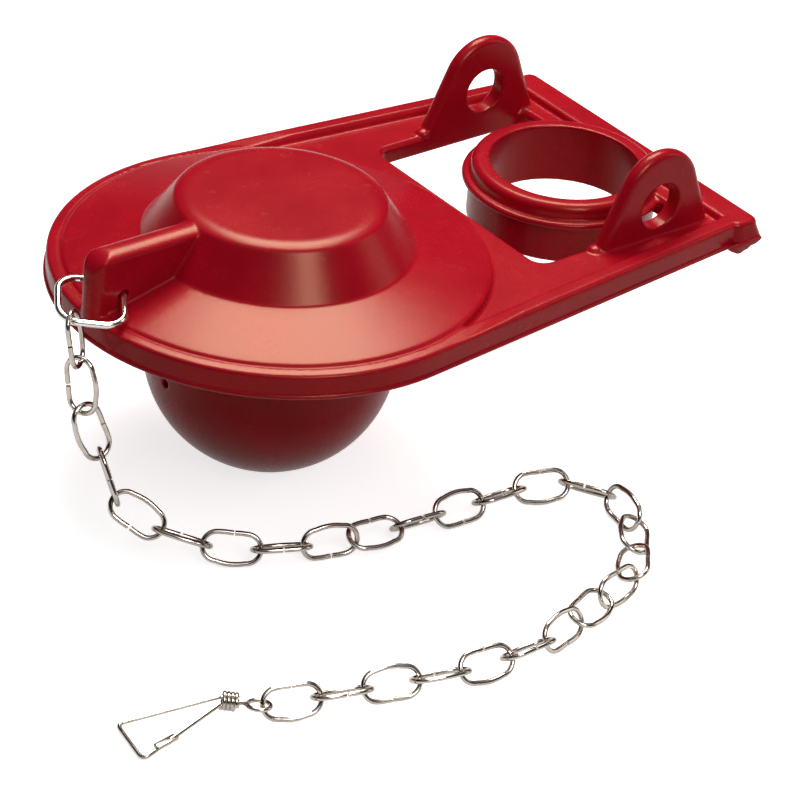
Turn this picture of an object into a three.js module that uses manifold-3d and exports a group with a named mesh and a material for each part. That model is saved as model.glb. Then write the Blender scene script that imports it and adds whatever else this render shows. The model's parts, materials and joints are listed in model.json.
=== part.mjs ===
// A toilet flapper: one moulded rubber piece that closes the outlet of a cistern, with a lift chain.
// Millimetres, +Z up. The origin is the centre of the sealing face, in its plane: the flat underside of
// the plate, which lies on the valve seat. -X is the front, where the lifting tab and the chain are.
// +X is the rear, where the collar goes over the overflow tube.
import * as THREE from "three";
import { mergeVertices } from "three/addons/utils/BufferGeometryUtils.js";
import Module from "manifold-3d";

const wasm = await Module();
wasm.setup();

// Plate: a rounded front, sides that taper to the rear, a raised border and a thin lip underneath.
const plateRadius = 42;
const plateThickness = 5;
const plateRearX = 88.2;
const plateRearHalfWidth = 33.2;
const plateRearCorner = 1.8;
const borderWidth = 3.8;
const borderHeight = 1.4;
const borderRound = 0.8;
const lipHeight = 0.8;
const lipReach = 0.4;
const floorZ = plateThickness - borderHeight;

// Raised strip across the rear, a little longer than the plate is wide there.
const stripFrontX = 82;
const stripHalfWidth = 34.3;

// Disc: a shallow cone around the dome, with a narrow groove between it and the border.
const discRadius = 39.4;
const discEdgeRise = 0.85;
const discEdgeRound = 0.9;
const discInnerRise = 3.7;
const grooveWidth = 1;

// Dome over the air chamber.
const domeBaseRadius = 25.2;
const domeHeight = 12.5;
const domeRound = 2.9;
const domeRoundRadius = 16.8;

// Bulb under the plate: a cylinder and a half ball, hollow, with a drain hole and a small bleed hole.
const bulbRadius = 23.7;
const bulbCentreDepth = 14.1;
const bulbWall = 2.6;
const drainRadius = 6;
const bleedRadius = 0.8;
const bleedDepth = 15.4;

// Window between the disc and the collar.
const windowFrontX = 42.1;
const windowRearX = 78;
const windowHalfWidth = 24.7;
const windowCorner = 2.4;

// Collar for the overflow tube: a stepped ring with a round bore.
const collarX = 68.2;
const collarBoreRadius = 14.5;
const collarRimRadius = 17.9;
const collarRimRise = 1.1;
const collarRimRound = 0.7;
const flangeRadius = 19.5;
const flangeTopDrop = 1.9;
const flangeHeight = 1.2;
const collarWallRadius = 18;
const collarDepth = 10.9;

// Two ears with a pin hole each. They stand flush with the side walls of the window.
const earX = 68;
const earThickness = 3.2;
const earTopRadius = 9.2;
const earTopCentreRise = 6.9;
const earFrontX = 54;
const earRearX = 81;
const earRound = 1.5;
const earHoleRadius = 4.5;
const earHoleRise = 5;

// Lifting tab: an upright rib from the dome to the front of the plate. Its hole fits the large link's
// wire and follows it, as soft rubber does.
const tabFrontX = 0.6 - plateRadius;
const tabHalfThickness = 2.6;
const tabTopRise = 11.6;
const tabCorner = 3.4;
const tabRound = 1.7;
const tabHoleClearance = 0.35;

// Wire of the chain, and the gap that touching pieces keep.
const gap = 0.3;
const wireRadius = 0.475;
const linkLength = 11.6;
const linkWidth = 6.3;
const linkBow = 0.35;
const linkButtGap = 0.35;
const linkCount = 27;
// Play between two links that hook into each other, and the step from one link to the next.
const linkSlack = 0.6;
const linkPitch = linkLength - 4 * wireRadius - linkSlack;

// Large link through the tab's hole, as it lies on the disc: heading, fall and lean in degrees.
const tabLinkWireRadius = 0.68;
const tabLinkHalfLength = 5.85;
const tabLinkHalfWidth = 5.65;
const tabLinkCorner = 3.65;
const tabLinkButtGap = 0.4;
const tabLinkCentre = new THREE.Vector3(-plateRadius, -1.6, 8.15);
const tabLinkHeading = -31;
const tabLinkFall = 6.4;
const tabLinkLean = 12.6;
const tabLinkHangAngle = 68;

// Hook clip at the chain's far end: an eye, a wound barrel and a long wire loop with a flat latch. The
// loop's far corners lie on the table, this far from the middle of the eye.
const clipWireRadius = 0.4;
const clipEyeRadius = 2;
const clipEyeTurn = -15;
const clipShank = 1.3;
const clipBarrelLength = 3.6;
const clipBarrelRadius = 1.75;
const clipBarrelTurns = 4;
const clipMouthHalfWidth = 1.2;
const clipFarCorners = [[-21.3, 11.3], [-23.2, 0.8]];
const clipCorner = 1.6;
const clipLatchLength = 4.7;
const clipLatchWidth = 1.5;
const clipLatchThickness = 0.7;
const clipLatchInset = 3.1;
const clipShankHeading = 136;

// The table plane that the bulb stands on. Most of the chain lies on it, its middle line this far above.
const tableZ = -bulbCentreDepth - Math.sqrt(bulbRadius ** 2 - drainRadius ** 2);
const lyingHeight = 3.3;
const lyingZ = tableZ + lyingHeight;

// Where the chain runs, chosen by hand: down from the large link, measured from the plate's front, then
// over the table.
const hangingRoute = [
  [-4.7, -5.3, -0.8], [-4.6, -7.2, -9.7], [-2.2, -9.8, -18.1], [-1.3, -14, -26.1],
  [3.8, -20, -30.7], [10.5, -25.6, -33],
].map(([ahead, y, z]) => [ahead - plateRadius, y, z]);
const lyingRoute = [
  [-24, -30.8], [-15.7, -34.4], [-6.9, -36.7], [2.2, -37.8], [11.2, -38.7], [20.3, -39.2],
  [29.4, -39.3], [38.1, -41.8], [43.1, -49.4], [41.9, -58.4], [35.9, -65.3], [30.1, -72.3],
  [21.2, -74.3], [12.7, -77.7], [3.9, -80], [-5.2, -80.4], [-14.2, -79.5], [-23.1, -77.5],
  [-31.9, -75.1], [-40.6, -72.7], [-49.3, -70], [-58, -67.3],
];

// How far each link is turned about its length from the one before, in degrees, from the second on.
const linkTurns = [
  100, 115, 115, 90, 90, 90, 90, 100, 130, 110, 100, 95, 85, 85, 110, 85, 50, 85, 55, 130, 100, 90,
  85, 90, 90, 90,
];

// Facets on round shapes, and steps along a wire.
const aroundBody = 48;
const aroundCollar = 40;
const aroundHole = 20;
const aroundBleed = 8;
const aroundWire = 6;
const aroundClip = 12;
const stepsPerLink = 16;
const tabLinkSteps = 20;
const clipLoopSteps = 32;
const routeSteps = 4000;
const cornerSteps = 3;
const plateFrontSteps = 30;
const smallRoundSteps = 2;
const domeRoundSteps = 4;
const bulbSteps = 9;
const chamberSteps = 7;
const earTopSteps = 9;
const tabCornerSteps = 4;
const tabRoundSteps = 3;

// Turns in degrees: where the disc's edge meets its top, and how close the balls start to their bottom.
const discEdgeTurn = 79;
const bulbStartTurn = -81;
const chamberStartTurn = -80;

// How far a cutting shape runs past the face that it cuts.
const spare = 1;

const rubberRed = 0xb11a28;
const linkSteel = 0xb9b4ab;
const brightSteel = 0xd4d2cc;
const rubberLook = { color: rubberRed, roughness: 0.45, metalness: 0 };
const linkLook = { color: linkSteel, roughness: 0.3, metalness: 1 };
const tabLinkLook = { color: brightSteel, roughness: 0.25, metalness: 1 };

const radians = THREE.MathUtils.degToRad;
const degrees = THREE.MathUtils.radToDeg;
const part = new THREE.Group();

// Adds one named piece to the part and gives it back, so that it can be placed.
function addPiece(name, geometry, look) {
  const mesh = new THREE.Mesh(geometry, new THREE.MeshStandardMaterial(look));
  mesh.name = name;
  part.add(mesh);
  return mesh;
}

// Shares the corners of a closed geometry and drops the triangles that have no area.
function welded(geometry) {
  const bare = geometry.clone();
  bare.deleteAttribute("normal");
  bare.deleteAttribute("uv");
  const shared = mergeVertices(bare, 1e-4);
  const corners = [...shared.index.array];
  const kept = [];
  for (let i = 0; i < corners.length; i += 3) {
    const [a, b, c] = corners.slice(i, i + 3);
    if (a !== b && b !== c && c !== a) kept.push(a, b, c);
  }
  shared.setIndex(kept);
  return shared;
}

// Turns a closed geometry into a solid that can be joined and cut, and a solid back into a geometry.
function solid(geometry) {
  const shared = welded(geometry);
  return new wasm.Manifold(new wasm.Mesh({
    numProp: 3,
    vertProperties: new Float32Array(shared.attributes.position.array),
    triVerts: new Uint32Array(shared.index.array),
  }));
}

function geometryOf(manifold) {
  const mesh = manifold.getMesh();
  const geometry = new THREE.BufferGeometry();
  geometry.setAttribute("position", new THREE.BufferAttribute(mesh.vertProperties, 3));
  geometry.setIndex(new THREE.BufferAttribute(mesh.triVerts, 1));
  geometry.computeVertexNormals();
  return geometry;
}

// A solid turned about the Z axis from [radius, z] points that go upwards on the outside.
function turned(points, segments, x = 0) {
  const profile = points.map(([r, z]) => new THREE.Vector2(r, z));
  const geometry = new THREE.LatheGeometry(profile, segments);
  geometry.rotateX(Math.PI / 2);
  geometry.translate(x, 0, 0);
  return solid(geometry);
}

function rod(radius, length, segments) {
  return new THREE.CylinderGeometry(radius, radius, length, segments);
}

// Points of a circular arc, both ends included, with angles in degrees.
function arcPoints(cx, cy, radius, from, to, steps) {
  return Array.from({ length: steps + 1 }, (_, i) => {
    const angle = radians(from + ((to - from) * i) / steps);
    return [cx + radius * Math.cos(angle), cy + radius * Math.sin(angle)];
  });
}

// Outline of the plate, moved outwards by the given distance: a front arc and two tapering sides.
function plateOutline(offset) {
  const radius = plateRadius + offset;
  const rearX = plateRearX + offset;
  const halfWidth = plateRearHalfWidth + offset;
  const lean = Math.atan2(rearX, halfWidth) - Math.acos(radius / Math.hypot(rearX, halfWidth));
  const side = 90 - degrees(lean);
  const corner = Math.max(plateRearCorner + offset, lipReach);
  const far = arcPoints(rearX - corner, halfWidth - corner, corner, 0, side, cornerSteps);
  const front = arcPoints(0, 0, radius, side, 360 - side, plateFrontSteps);
  const near = far.map(([x, y]) => [x, -y]).reverse();
  return shapeOf([...far, ...front, ...near]);
}

function shapeOf(points) {
  return new THREE.Shape(points.map(([x, y]) => new THREE.Vector2(x, y)));
}

// A flat outline pushed up from one height to another.
function slab(shape, fromZ, toZ) {
  const geometry = new THREE.ExtrudeGeometry(shape, { depth: toZ - fromZ, bevelEnabled: false });
  geometry.translate(0, 0, fromZ);
  return solid(geometry);
}

// The same, with its edges rounded at both ends.
function roundedSlab(shape, fromZ, toZ, round, segments = smallRoundSteps) {
  const geometry = new THREE.ExtrudeGeometry(shape, {
    depth: toZ - fromZ - 2 * round,
    bevelThickness: round,
    bevelSize: round,
    bevelOffset: -round,
    bevelSegments: segments,
  });
  geometry.translate(0, 0, fromZ + round);
  return solid(geometry);
}

function rectangle(x0, x1, halfWidth, corner) {
  const points = [
    ...arcPoints(x1 - corner, halfWidth - corner, corner, 0, 90, cornerSteps),
    ...arcPoints(x0 + corner, halfWidth - corner, corner, 90, 180, cornerSteps),
    ...arcPoints(x0 + corner, corner - halfWidth, corner, 180, 270, cornerSteps),
    ...arcPoints(x1 - corner, corner - halfWidth, corner, 270, 360, cornerSteps),
  ];
  return shapeOf(points);
}

// Plate with its border, rear strip and window.
function plateSolid() {
  const aboveZ = plateThickness + spare;
  const sunk = slab(plateOutline(-borderWidth), floorZ, aboveZ);
  const grooveOutline = shapeOf(arcPoints(0, 0, discRadius + grooveWidth, 0, 360, aroundBody).slice(1));
  const stripOutline = rectangle(stripFrontX, plateRearX, stripHalfWidth, plateRearCorner);
  const windowOutline = rectangle(windowFrontX, windowRearX, windowHalfWidth, windowCorner);
  return roundedSlab(plateOutline(0), -borderRound, plateThickness, borderRound)
    .subtract(slab(plateOutline(spare), -borderRound - spare, 0))
    .subtract(sunk)
    .subtract(slab(grooveOutline, floorZ, aboveZ))
    .add(slab(plateOutline(lipReach), 0, lipHeight))
    .add(roundedSlab(stripOutline, 0, plateThickness, borderRound))
    .subtract(slab(windowOutline, -spare, aboveZ));
}

// The place where the dome's wall touches the round of its top edge, as an angle in degrees.
function domeWallAngle(radius, z, round) {
  const dx = domeRoundRadius - radius;
  const dz = plateThickness + domeHeight - domeRound - z;
  const reach = Math.hypot(dx, dz);
  const wall = Math.atan2(dz, dx) - Math.asin(round / reach);
  return degrees(wall) - 90;
}

// Disc and dome in one turned solid, sunk halfway into the plate.
function discAndDome() {
  const edgeZ = plateThickness + discEdgeRise;
  const baseZ = plateThickness + discInnerRise;
  const roundZ = plateThickness + domeHeight - domeRound;
  const wallAngle = domeWallAngle(domeBaseRadius, baseZ, domeRound);
  const roundX = discRadius - discEdgeRound;
  const edge = arcPoints(roundX, edgeZ - discEdgeRound, discEdgeRound, 0, discEdgeTurn, smallRoundSteps);
  return turned([
    [0, plateThickness / 2],
    [discRadius, plateThickness / 2],
    ...edge,
    [domeBaseRadius, baseZ],
    ...arcPoints(domeRoundRadius, roundZ, domeRound, wallAngle, 90, domeRoundSteps),
    [0, plateThickness + domeHeight],
  ], aroundBody);
}

// Outside of the bulb: a wall and a half ball under it.
function bulbSolid() {
  return turned([
    [0, -bulbCentreDepth - bulbRadius],
    ...arcPoints(0, -bulbCentreDepth, bulbRadius, bulbStartTurn, 0, bulbSteps),
    [bulbRadius, plateThickness / 2],
    [0, plateThickness / 2],
  ], aroundBody);
}

// Air chamber: it follows the bulb and the dome at the thickness of their wall.
function chamberSolid() {
  const radius = bulbRadius - bulbWall;
  const innerRound = domeRound - bulbWall;
  const roundZ = plateThickness + domeHeight - domeRound;
  const wallAngle = domeWallAngle(domeBaseRadius, plateThickness + discInnerRise, domeRound);
  const shoulder = arcPoints(domeRoundRadius, roundZ, innerRound, wallAngle, 90, smallRoundSteps);
  const [topRadius, topZ] = shoulder[0];
  const shoulderZ = topZ - (radius - topRadius) / Math.tan(radians(wallAngle));
  return turned([
    [0, -bulbCentreDepth - radius],
    ...arcPoints(0, -bulbCentreDepth, radius, chamberStartTurn, 0, chamberSteps),
    [radius, shoulderZ],
    ...shoulder,
    [0, roundZ + innerRound],
  ], aroundBody);
}

// Collar with a rim, a flange below it and a deep wall.
function collarSolid() {
  const rimZ = plateThickness + collarRimRise;
  const flangeZ = plateThickness - flangeTopDrop;
  const roundX = collarRimRadius - collarRimRound;
  const rim = arcPoints(roundX, rimZ - collarRimRound, collarRimRound, 0, 90, smallRoundSteps);
  return turned([
    [0, plateThickness - collarDepth],
    [collarWallRadius, plateThickness - collarDepth],
    [collarWallRadius, flangeZ - flangeHeight],
    [flangeRadius, flangeZ - flangeHeight],
    [flangeRadius, flangeZ],
    [collarRimRadius, flangeZ + (flangeRadius - collarRimRadius) / 2],
    ...rim,
    [0, rimZ],
  ], aroundCollar, collarX);
}

// One ear: a round top with two straight flanks down to the plate. Its inner face is flat and stands in
// line with the window's wall; the edge of its outer face is rounded. The pin hole goes through the ear only.
function earSolid(side) {
  const centreZ = plateThickness + earTopCentreRise;
  const rear = flankAngle(earRearX - earX, centreZ - floorZ);
  const front = 180 - flankAngle(earX - earFrontX, centreZ - floorZ);
  const outline = shapeOf([
    [earFrontX, 0],
    [earRearX, 0],
    [earRearX, floorZ],
    ...arcPoints(earX, centreZ, earTopRadius, rear, front, earTopSteps),
    [earFrontX, floorZ],
  ]);
  const ear = roundedSlab(outline, 0, earThickness, earRound)
    .add(slab(outline, 0, earThickness - earRound))
    .rotate([90, 0, 0])
    .translate([0, -windowHalfWidth, 0]);
  const pinHole = rod(earHoleRadius, 4 * stripHalfWidth, aroundHole);
  pinHole.translate(earX, 0, plateThickness + earHoleRise);
  const drilled = ear.subtract(solid(pinHole));
  return side > 0 ? drilled.mirror([0, 1, 0]) : drilled;
}

// Where a straight flank touches the ear's round top, in degrees from the horizontal.
function flankAngle(footDistance, drop) {
  const reach = Math.hypot(footDistance, drop);
  return degrees(Math.acos(earTopRadius / reach) - Math.atan2(drop, footDistance));
}

// Lifting tab, from inside the dome's wall to the front.
function tabSolid() {
  const top = plateThickness + tabTopRise;
  const outline = shapeOf([
    [tabFrontX, floorZ],
    [-domeRoundRadius, floorZ],
    [-domeRoundRadius, top],
    ...arcPoints(tabFrontX + tabCorner, top - tabCorner, tabCorner, 90, 180, tabCornerSteps),
  ]);
  const slab = roundedSlab(outline, -tabHalfThickness, tabHalfThickness, tabRound, tabRoundSteps);
  return slab.rotate([90, 0, 0]);
}

// Cuts the tab's hole. The link's loop is symmetrical, so the cut is turned to have its own open end on
// the far side from the tab.
function tabHoleSolid() {
  const hole = wire(tabLinkCurve, tabLinkWireRadius + tabHoleClearance, tabLinkSteps);
  hole.rotateZ(Math.PI);
  hole.applyMatrix4(tabLinkPlace);
  return solid(hole);
}

function bodySolid() {
  const bore = rod(collarBoreRadius, 4 * collarDepth, aroundCollar);
  bore.rotateX(Math.PI / 2);
  bore.translate(collarX, 0, 0);
  const drain = rod(drainRadius, 2 * bulbRadius, aroundHole);
  drain.rotateX(Math.PI / 2);
  drain.translate(0, 0, -bulbCentreDepth - bulbRadius);
  const bleed = rod(bleedRadius, bulbRadius, aroundBleed);
  bleed.rotateZ(Math.PI / 2);
  bleed.translate(-bulbRadius, 0, -bleedDepth);
  return plateSolid()
    .add(discAndDome())
    .add(bulbSolid())
    .add(collarSolid())
    .add(earSolid(1))
    .add(earSolid(-1))
    .add(tabSolid())
    .subtract(chamberSolid())
    .subtract(solid(drain))
    .subtract(solid(bleed))
    .subtract(solid(bore))
    .subtract(tabHoleSolid());
}

// A flat path as a curve in space, for a wire to follow.
class FlatCurve extends THREE.Curve {
  constructor(path) {
    super();
    this.path = path;
  }

  getPoint(t, target = new THREE.Vector3()) {
    const point = this.path.getPoint(t);
    return target.set(point.x, point.y, 0);
  }
}

// Middle line of a wire loop, cut open by a butt gap in its lower side. The upper side bows outwards.
function loopPath(halfLength, halfWidth, corner, buttGap, bow) {
  const straight = halfLength - corner;
  const rise = halfWidth - corner;
  const path = new THREE.Path();
  path.moveTo(buttGap / 2, -halfWidth);
  path.lineTo(straight, -halfWidth);
  path.absarc(straight, -rise, corner, -Math.PI / 2, rise > 0 ? 0 : Math.PI / 2, false);
  if (rise > 0) path.absarc(straight, rise, corner, 0, Math.PI / 2, false);
  path.quadraticCurveTo(0, halfWidth + 2 * bow, -straight, halfWidth);
  path.absarc(-straight, rise, corner, Math.PI / 2, rise > 0 ? Math.PI : 1.5 * Math.PI, false);
  if (rise > 0) path.absarc(-straight, -rise, corner, Math.PI, 1.5 * Math.PI, false);
  path.lineTo(-buttGap / 2, -halfWidth);
  return new FlatCurve(path);
}

function wire(curve, radius, steps) {
  const section = shapeOf(arcPoints(0, 0, radius, 0, 360, aroundWire).slice(1));
  return new THREE.ExtrudeGeometry(section, { extrudePath: curve, steps });
}

// The large link lies over the disc's edge with one side in the tab and its butt gap out of sight.
function tabLinkMatrix() {
  const lying = new THREE.Euler(radians(tabLinkLean), radians(tabLinkFall), radians(tabLinkHeading), "ZYX");
  const halfTurn = new THREE.Matrix4().makeRotationZ(Math.PI);
  return new THREE.Matrix4().makeRotationFromEuler(lying).multiply(halfTurn).setPosition(tabLinkCentre);
}

function addTabLink() {
  const link = addPiece("tab_link", wire(tabLinkCurve, tabLinkWireRadius, tabLinkSteps), tabLinkLook);
  tabLinkPlace.decompose(link.position, link.quaternion, link.scale);
}

// Where the chain hangs on the large link: the middle of its wire there, and the wire's direction.
function hangingPoint() {
  const angle = radians(tabLinkHangAngle);
  const corner = new THREE.Vector3(tabLinkHalfLength - tabLinkCorner, tabLinkHalfWidth - tabLinkCorner, 0);
  const outwards = new THREE.Vector3(Math.cos(angle), Math.sin(angle), 0);
  const point = corner.addScaledVector(outwards, tabLinkCorner).applyMatrix4(tabLinkPlace);
  const along = new THREE.Vector3(-outwards.y, outwards.x, 0).transformDirection(tabLinkPlace);
  return { point, along };
}

// Steps along a curve so that each joint lies one pitch, in a straight line, from the one before.
function jointsAlong(curve, pitch, count) {
  const fine = curve.getSpacedPoints(routeSteps);
  const joints = [fine[0]];
  for (const point of fine) {
    if (joints.length > count) break;
    if (point.distanceTo(joints.at(-1)) >= pitch) joints.push(point);
  }
  return joints;
}

// The chain's links, each turned about its length from the one before.
function addChain(hanging) {
  const start = hanging.point.clone();
  start.z += tabLinkWireRadius + gap / 2;
  const route = new THREE.CatmullRomCurve3([
    start,
    ...hangingRoute.map(([x, y, z]) => new THREE.Vector3(x, y, z)),
    ...lyingRoute.map(([x, y]) => new THREE.Vector3(x, y, lyingZ)),
  ], false, "centripetal");
  const joints = jointsAlong(route, linkPitch, linkCount);
  const halfLength = linkLength / 2 - wireRadius;
  const halfWidth = linkWidth / 2 - wireRadius;
  const loop = loopPath(halfLength, halfWidth, halfWidth, linkButtGap, linkBow);
  const geometry = wire(loop, wireRadius, stepsPerLink);
  const forward = joints[1].clone().sub(joints[0]).normalize();
  const normal = hanging.along.clone().projectOnPlane(forward).normalize();
  const basis = new THREE.Matrix4().makeBasis(forward, normal.clone().cross(forward), normal);
  const attitude = new THREE.Quaternion().setFromRotationMatrix(basis);
  const before = forward.clone();
  for (let i = 1; i <= linkCount; i += 1) {
    const along = joints[i].clone().sub(joints[i - 1]).normalize();
    attitude.premultiply(new THREE.Quaternion().setFromUnitVectors(before, along));
    const turn = i > 1 ? linkTurns[i - 2] : 0;
    attitude.premultiply(new THREE.Quaternion().setFromAxisAngle(along, radians(turn)));
    before.copy(along);
    const link = addPiece(`chain_link_${String(i).padStart(2, "0")}`, geometry, linkLook);
    link.position.copy(joints[i]).add(joints[i - 1]).divideScalar(2);
    link.quaternion.copy(attitude);
  }
  return { end: joints[linkCount], along: before, attitude };
}

// The clip's barrel along Z: a row of wound turns with a valley between each two.
function clipBarrel() {
  const start = clipEyeRadius + clipShank;
  const step = clipBarrelLength / clipBarrelTurns;
  const valley = clipBarrelRadius - clipWireRadius;
  const profile = [[0, start]];
  for (let turn = 0; turn < clipBarrelTurns; turn += 1) {
    profile.push([valley, start + turn * step], [clipBarrelRadius, start + (turn + 0.5) * step]);
  }
  profile.push([valley, start + clipBarrelLength], [0, start + clipBarrelLength]);
  const barrel = new THREE.LatheGeometry(profile.map(([r, z]) => new THREE.Vector2(r, z)), aroundClip);
  barrel.rotateX(Math.PI / 2);
  return barrel;
}

// Corners of the clip's loop, from the barrel's mouth out and back.
function clipLoopCorners(shank, tableDrop) {
  const mouth = shank.clone().multiplyScalar(clipEyeRadius + clipShank + clipBarrelLength - clipWireRadius);
  const aside = new THREE.Vector3(-shank.y, shank.x, 0).multiplyScalar(clipMouthHalfWidth);
  const [first, second] = clipFarCorners.map(([x, y]) => new THREE.Vector3(x, y, tableDrop));
  return [mouth.clone().sub(aside), first, second, mouth.clone().add(aside)];
}

// Middle line of the loop's wire, with its two far corners rounded.
function clipLoopCurve(corners) {
  const bend = (at, towards) => at.clone().add(towards.clone().sub(at).setLength(clipCorner));
  const [start, first, second, end] = corners;
  const curve = new THREE.CurvePath();
  curve.add(new THREE.LineCurve3(start, bend(first, start)));
  curve.add(new THREE.QuadraticBezierCurve3(bend(first, start), first, bend(first, second)));
  curve.add(new THREE.LineCurve3(bend(first, second), bend(second, first)));
  curve.add(new THREE.QuadraticBezierCurve3(bend(second, first), second, bend(second, end)));
  curve.add(new THREE.LineCurve3(bend(second, end), end));
  return curve;
}

// Flat latch on the returning wire, near the far end.
function clipLatch([, , second, end]) {
  const returning = end.clone().sub(second).normalize();
  const seat = second.clone().addScaledVector(returning, clipLatchInset + clipLatchLength / 2);
  const latch = new THREE.BoxGeometry(clipLatchLength, clipLatchWidth, clipLatchThickness);
  latch.rotateZ(Math.atan2(returning.y, returning.x));
  latch.translate(seat.x, seat.y, seat.z + clipWireRadius / 2);
  return latch;
}

// Hook clip: eye, shank, wound barrel, and a long loop of the same wire with a flat latch.
function addClip({ end, along, attitude }) {
  const heading = radians(clipShankHeading);
  const shank = new THREE.Vector3(Math.cos(heading), Math.sin(heading), 0);
  const eyeMiddle = end.clone().addScaledVector(along, linkSlack / 2 + wireRadius);
  eyeMiddle.addScaledVector(shank, clipEyeRadius - clipWireRadius - linkSlack - wireRadius);
  const across = new THREE.Vector3(0, 1, 0).applyQuaternion(attitude).projectOnPlane(shank).normalize();
  across.applyAxisAngle(shank, radians(clipEyeTurn));

  const ring = new THREE.TorusGeometry(clipEyeRadius, clipWireRadius, aroundWire, aroundClip);
  ring.applyQuaternion(new THREE.Quaternion().setFromUnitVectors(new THREE.Vector3(0, 0, 1), across));
  const stem = rod(clipWireRadius, clipShank + clipWireRadius, aroundWire);
  stem.rotateX(Math.PI / 2);
  stem.translate(0, 0, clipEyeRadius + clipShank / 2);
  const barrel = clipBarrel();
  const alongShank = new THREE.Quaternion().setFromUnitVectors(new THREE.Vector3(0, 0, 1), shank);
  stem.applyQuaternion(alongShank);
  barrel.applyQuaternion(alongShank);

  const corners = clipLoopCorners(shank, tableZ + clipWireRadius - eyeMiddle.z);
  const clip = solid(ring)
    .add(solid(stem))
    .add(solid(barrel))
    .add(solid(wire(clipLoopCurve(corners), clipWireRadius, clipLoopSteps)))
    .add(solid(clipLatch(corners)));
  addPiece("hook_clip", geometryOf(clip), linkLook).position.copy(eyeMiddle);
}

const tabLinkCurve = loopPath(tabLinkHalfLength, tabLinkHalfWidth, tabLinkCorner, tabLinkButtGap, 0);
const tabLinkPlace = tabLinkMatrix();
addPiece("flapper_body", geometryOf(bodySolid()), rubberLook);
addTabLink();
addClip(addChain(hangingPoint()));

export default part;
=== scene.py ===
"""Looks of a toilet flapper: a moulded red rubber body, a steel lift chain and its hook clip.

Sizes are in millimetres while a shape is made, and each finished mesh is turned to metres. The frame is
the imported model's: the origin is the centre of the sealing face, -X is the lifting tab, +X the collar.
"""

from __future__ import annotations

import json
import logging
import math
import random
from collections.abc import Iterable
from dataclasses import dataclass, field
from enum import Enum

import bmesh
import bpy
from mathutils import Euler, Matrix, Vector

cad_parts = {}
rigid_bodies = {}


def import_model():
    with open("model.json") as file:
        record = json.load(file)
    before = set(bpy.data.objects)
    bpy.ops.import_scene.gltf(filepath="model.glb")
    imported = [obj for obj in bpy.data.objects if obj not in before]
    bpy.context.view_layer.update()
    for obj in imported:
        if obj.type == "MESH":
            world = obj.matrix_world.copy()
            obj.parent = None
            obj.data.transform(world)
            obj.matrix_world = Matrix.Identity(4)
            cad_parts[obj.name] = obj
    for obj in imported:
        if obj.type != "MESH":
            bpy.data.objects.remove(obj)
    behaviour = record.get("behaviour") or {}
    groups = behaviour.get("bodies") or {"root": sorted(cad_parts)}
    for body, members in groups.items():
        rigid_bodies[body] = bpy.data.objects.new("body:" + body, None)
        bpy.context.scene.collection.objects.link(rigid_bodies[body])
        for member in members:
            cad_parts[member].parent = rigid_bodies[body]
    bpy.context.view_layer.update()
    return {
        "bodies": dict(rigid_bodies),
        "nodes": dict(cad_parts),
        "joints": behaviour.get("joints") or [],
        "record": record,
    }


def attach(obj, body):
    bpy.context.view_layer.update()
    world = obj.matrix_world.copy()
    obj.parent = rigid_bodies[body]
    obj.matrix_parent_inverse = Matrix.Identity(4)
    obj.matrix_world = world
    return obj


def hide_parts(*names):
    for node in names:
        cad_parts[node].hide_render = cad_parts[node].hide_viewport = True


LOG = logging.getLogger("flapper")
MM = 0.001
SAME = 1e-4
Point2 = tuple[float, float]
Triple = tuple[float, float, float]


class Cut(Enum):
    """How a shape is put on or taken off another."""

    JOIN = "UNION"
    TAKE = "DIFFERENCE"
    KEEP = "INTERSECT"


class Axis(Enum):
    """A direction of the frame, as a unit vector."""

    X = (1.0, 0.0, 0.0)
    Y = (0.0, 1.0, 0.0)
    Z = (0.0, 0.0, 1.0)


def arc(centre: Point2, radius: float, start: float, stop: float, steps: int) -> list[Point2]:
    """Points of a circular arc, both ends included.

    Args:
        centre: the arc's centre.
        radius: its radius.
        start: the first angle, in degrees.
        stop: the last angle, in degrees.
        steps: how many chords the arc has.

    Returns:
        The points in order.
    """
    turns = [math.radians(start + (stop - start) * i / steps) for i in range(steps + 1)]
    return [(centre[0] + radius * math.cos(t), centre[1] + radius * math.sin(t)) for t in turns]


def spun(profile: list[Point2], steps: int, centre_x: float = 0.0) -> bmesh.types.BMesh:
    """A solid turned about an upright axis from a profile of (radius, height) points.

    Args:
        profile: the points, whose ends lie on the axis or meet each other.
        steps: how many steps the full turn has.
        centre_x: where the axis stands.

    Returns:
        The closed shape.
    """
    shape = bmesh.new()
    verts = [shape.verts.new((radius, 0.0, height)) for radius, height in profile]
    edges = [shape.edges.new(pair) for pair in zip(verts, verts[1:])]
    bmesh.ops.spin(
        shape, geom=verts + edges, cent=(0, 0, 0), axis=Axis.Z.value, angle=math.tau, steps=steps,
        use_merge=True,
    )
    bmesh.ops.remove_doubles(shape, verts=shape.verts, dist=SAME)
    bmesh.ops.translate(shape, verts=shape.verts, vec=(centre_x, 0, 0))
    bmesh.ops.recalc_face_normals(shape, faces=shape.faces)
    return shape


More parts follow.
